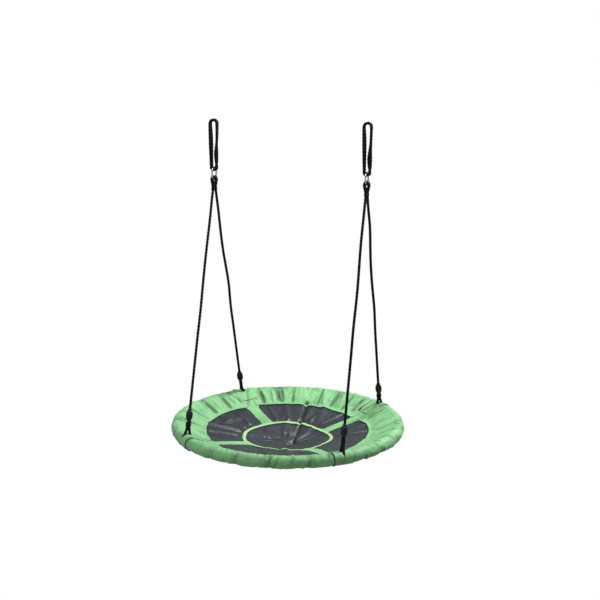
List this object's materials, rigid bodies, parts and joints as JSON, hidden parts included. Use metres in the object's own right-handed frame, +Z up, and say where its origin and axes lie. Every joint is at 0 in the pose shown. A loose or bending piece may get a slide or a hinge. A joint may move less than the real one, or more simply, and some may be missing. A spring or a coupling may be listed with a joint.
{
  "type": "saucer swing",
  "caption": "Round saucer swing with a padded rim and a sewn fabric deck, hung by ropes with sliding adjusters from steel rings and rope slings.",
  "frame": {"origin": "midway between the centres of the two hanging eyes, on the beam line", "axes": "+X along the beam from the left eye to the right eye, +Y from the front of the seat to the back (the swinging direction), +Z up"},
  "size_m": [0.9966, 0.9968, 1.3865],
  "materials": {
    "rope": "braided polypropylene rope, black",
    "adjuster_plastic": "moulded black plastic",
    "ring_steel": "bright plated wire",
    "frame_steel": "galvanised tube",
    "screw_steel": "zinc plated",
    "foam": "closed-cell foam",
    "green_cloth": "coated woven polyester, light green",
    "dark_cloth": "coated woven polyester, slate, with a soft sheen",
    "binding_tape": "folded woven tape, pale green",
    "hook_and_loop": "hook-and-loop tape, black"
  },
  "bodies": {
    "slings": {"sling_left": "rope", "sling_right": "rope"},
    "rings": {"ring_left": "ring_steel", "ring_right": "ring_steel"},
    "left_ropes": {"rope_back_left": "rope", "rope_front_left": "rope"},
    "right_ropes": {"rope_back_right": "rope", "rope_front_right": "rope"},
    "adjuster_back_right_slider": {"adjuster_back_right": "adjuster_plastic"},
    "adjuster_back_left_slider": {"adjuster_back_left": "adjuster_plastic"},
    "adjuster_front_left_slider": {"adjuster_front_left": "adjuster_plastic"},
    "adjuster_front_right_slider": {"adjuster_front_right": "adjuster_plastic"},
    "seat": {"rim_loop_back_right": "rope", "frame_tube_back_right": "frame_steel", "rope_flap_back_right": "green_cloth", "deck_spoke_back_right": "green_cloth", "rim_loop_back_left": "rope", "frame_tube_back_left": "frame_steel", "rope_flap_back_left": "green_cloth", "deck_spoke_back_left": "green_cloth", "rim_loop_front_left": "rope", "frame_tube_front_left": "frame_steel", "rope_flap_front_left": "green_cloth", "deck_spoke_front_left": "green_cloth", "rim_loop_front_right": "rope", "frame_tube_front_right": "frame_steel", "rope_flap_front_right": "green_cloth", "deck_spoke_front_right": "green_cloth", "frame_screws": "screw_steel", "deck_centre_panel": "dark_cloth", "centre_binding": "binding_tape", "foam_sleeve_right": "foam", "rim_cover_right": "green_cloth", "cover_closure_right": "hook_and_loop", "deck_panel_right": "dark_cloth", "foam_sleeve_back": "foam", "rim_cover_back": "green_cloth", "cover_closure_back": "hook_and_loop", "deck_panel_back": "dark_cloth", "foam_sleeve_left": "foam", "rim_cover_left": "green_cloth", "cover_closure_left": "hook_and_loop", "deck_panel_left": "dark_cloth", "foam_sleeve_front": "foam", "rim_cover_front": "green_cloth", "cover_closure_front": "hook_and_loop", "deck_panel_front": "dark_cloth"}
  },
  "joints": [
    {"name": "swing", "type": "hinge", "parent": "slings", "child": "rings", "pos_m": [0, 0, -0.2055], "axis": [1, 0, 0], "range_deg": [-50, 50]},
    {"name": "sway_left", "type": "hinge", "parent": "rings", "child": "left_ropes", "pos_m": [-0.32788, 0, -0.23], "axis": [0, 1, 0], "range_deg": [-20, 20]},
    {"name": "sway_right", "type": "hinge", "parent": "rings", "child": "right_ropes", "pos_m": [0.32788, 0, -0.23], "axis": [0, 1, 0], "range_deg": [-20, 20]},
    {"name": "seat_level", "type": "hinge", "parent": "left_ropes", "child": "seat", "pos_m": [-0.32788, 0, -1.19867], "axis": [0, 1, 0], "range_deg": [-20, 20]},
    {"name": "slide_back_right", "type": "slide", "parent": "right_ropes", "child": "adjuster_back_right_slider", "axis": [0, -0.3091, 0.951], "range_m": [0, 0.25]},
    {"name": "slide_back_left", "type": "slide", "parent": "left_ropes", "child": "adjuster_back_left_slider", "axis": [0, -0.3091, 0.951], "range_m": [0, 0.25]},
    {"name": "slide_front_left", "type": "slide", "parent": "left_ropes", "child": "adjuster_front_left_slider", "axis": [0, 0.3091, 0.951], "range_m": [0, 0.25]},
    {"name": "slide_front_right", "type": "slide", "parent": "right_ropes", "child": "adjuster_front_right_slider", "axis": [0, 0.3091, 0.951], "range_m": [0, 0.25]}
  ],
  "couplings": [
    {"joint": "sway_right", "follows": "sway_left", "ratio": 1},
    {"joint": "seat_level", "follows": "sway_left", "ratio": -1}
  ]
}
